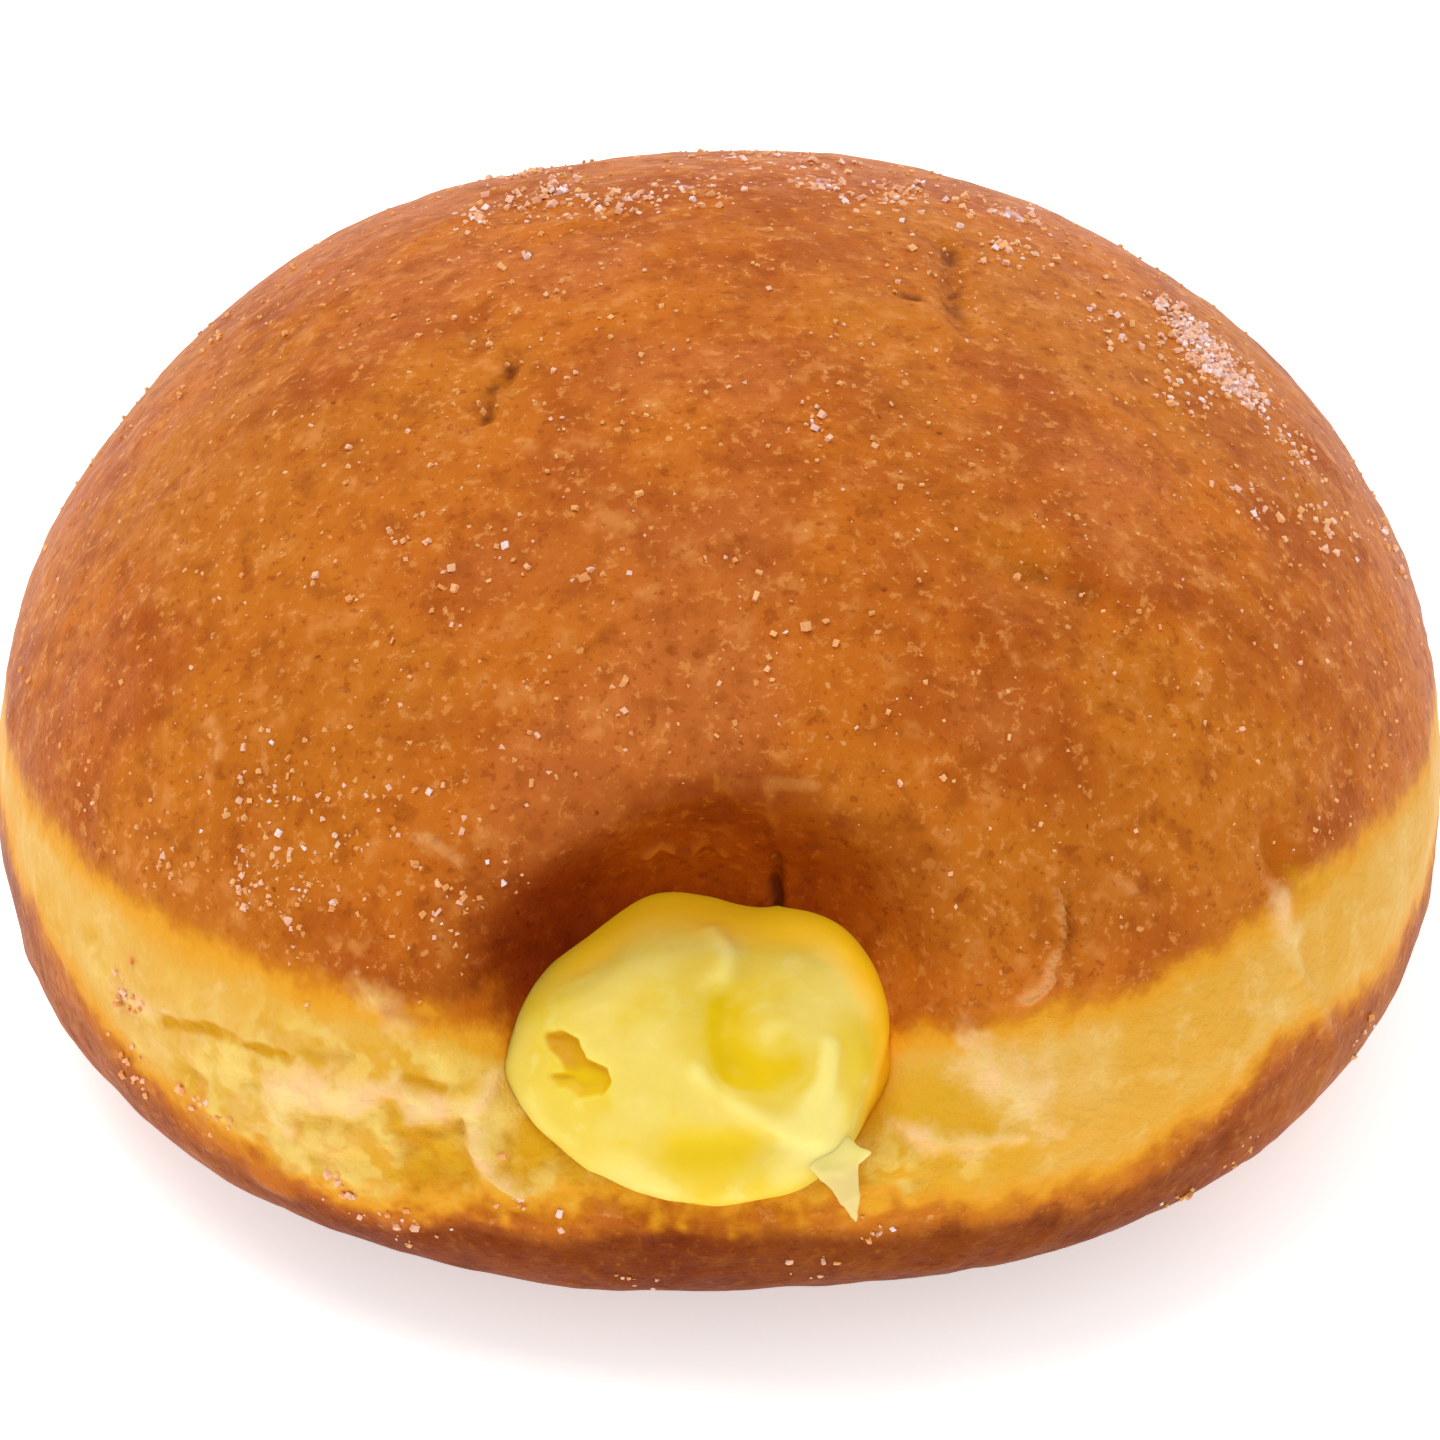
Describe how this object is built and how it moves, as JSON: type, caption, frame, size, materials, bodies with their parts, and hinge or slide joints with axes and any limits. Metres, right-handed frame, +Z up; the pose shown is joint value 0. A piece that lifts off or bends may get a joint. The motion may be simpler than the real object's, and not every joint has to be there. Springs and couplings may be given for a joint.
{
  "type": "custard doughnut",
  "caption": "Round custard-filled yeast doughnut: domed fried crust, pale band round the waist, dimpled side mouth with custard bulging out, sugar grains on top.",
  "frame": {"origin": "middle of the flat spot that the doughnut rests on", "axes": "+Z up; -Y out of the mouth that the custard bulges from; +X to the right seen from the mouth"},
  "size_m": [0.0884, 0.0891, 0.0471],
  "materials": {
    "fried_dough": "fried yeast dough, golden brown and slightly greasy, with a pale soft band round the waist and white sugar grains",
    "custard": "smooth glossy vanilla custard, pale yellow"
  },
  "bodies": {
    "root": {"dough": "fried_dough", "custard": "custard"}
  },
  "joints": []
}
